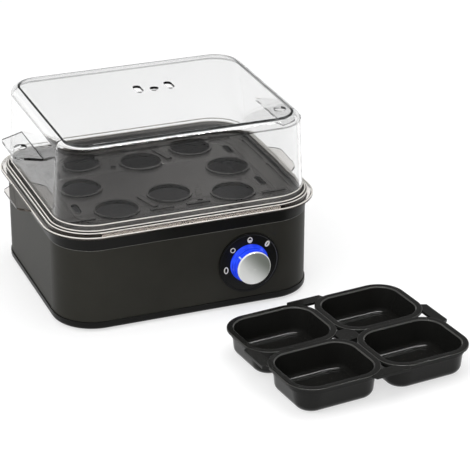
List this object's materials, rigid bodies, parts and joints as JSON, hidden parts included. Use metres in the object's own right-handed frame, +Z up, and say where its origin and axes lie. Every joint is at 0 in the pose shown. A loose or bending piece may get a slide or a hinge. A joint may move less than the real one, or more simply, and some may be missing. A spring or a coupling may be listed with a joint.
{
  "type": "electric egg cooker",
  "caption": "Electric egg cooker: dark base with a lit selector dial, water dish, clear egg tray and domed lid with side tabs, and a separate black poaching tray.",
  "frame": {"origin": "centre of the rubber ring that the base stands on, on the table", "axes": "+Z up, -Y is the front with the dial, +X to the right as seen from the front"},
  "size_m": [0.2623, 0.3434, 0.1405],
  "materials": {
    "anthracite_paint": "satin paint",
    "black_plastic": "satin moulded",
    "dial_black": "satin",
    "poach_black": "satin moulded",
    "clear_plastic": "clear polished plastic",
    "smoky_plastic": "smoky clear polished plastic",
    "lit_blue": "translucent, lit from behind",
    "silver_cap": "spun",
    "dish_coating": "dark non-stick coating",
    "rubber_black": "matt",
    "seal_rubber": "silicone",
    "bare_steel": "plated",
    "heater_steel": "annealed sheath",
    "ceramic": "fired ceramic",
    "brass": "plain",
    "board_green": "solder mask",
    "lamp_blue": "clear lamp body",
    "guide_clear": "clear light guide",
    "nylon_white": "natural nylon",
    "lead_brown": "insulation",
    "lead_red": "insulation",
    "lead_blue": "insulation",
    "lead_green": "insulation"
  },
  "bodies": {
    "base": {"rest_ring": "rubber_black", "bottom_cover": "black_plastic", "cover_screws": "bare_steel", "body_shell": "anthracite_paint", "top_collar": "black_plastic", "plate_seal": "seal_rubber", "heating_plate": "dish_coating", "plate_screws": "bare_steel", "heater_element": "heater_steel", "heater_pins": "bare_steel", "heater_beads": "ceramic", "shield_spacers": "bare_steel", "heat_shield": "bare_steel", "shield_nuts": "bare_steel", "thermostat": "ceramic", "thermostat_strap": "bare_steel", "strap_nuts": "bare_steel", "thermal_fuse": "nylon_white", "switch_bracket": "bare_steel", "bracket_screws": "bare_steel", "rotary_switch": "nylon_white", "switch_nut": "brass", "control_board": "board_green", "board_screws": "bare_steel", "status_leds": "lamp_blue", "buzzer": "black_plastic", "light_guide": "guide_clear", "dial_plate": "dial_black", "terminal_block": "nylon_white", "block_screws": "bare_steel", "cord_gland": "black_plastic", "gland_nut": "black_plastic", "lead_live": "lead_brown", "lead_switched": "lead_red", "lead_heater": "lead_red", "lead_neutral": "lead_blue", "lead_earth": "lead_green"},
    "knob": {"knob_skirt": "lit_blue", "knob_cap": "silver_cap", "switch_shaft": "bare_steel"},
    "tray": {"egg_tray": "smoky_plastic"},
    "lid": {"lid": "clear_plastic"},
    "poacher": {"poaching_tray": "poach_black"}
  },
  "joints": [
    {"name": "tray_lift", "type": "slide", "parent": "base", "child": "tray", "axis": [0, 0, 1], "range_m": [0, 0.1]},
    {"name": "lid_lift", "type": "slide", "parent": "tray", "child": "lid", "axis": [0, 0, 1], "range_m": [0, 0.12]},
    {"name": "knob_turn", "type": "hinge", "parent": "base", "child": "knob", "pos_m": [0.0427, -0.08375, 0.0358], "axis": [0, -1, 0], "range_deg": [-100, 50]},
    {"name": "poacher_lift", "type": "slide", "parent": "base", "child": "poacher", "axis": [0, 0, 1], "range_m": [0, 0.1]}
  ]
}
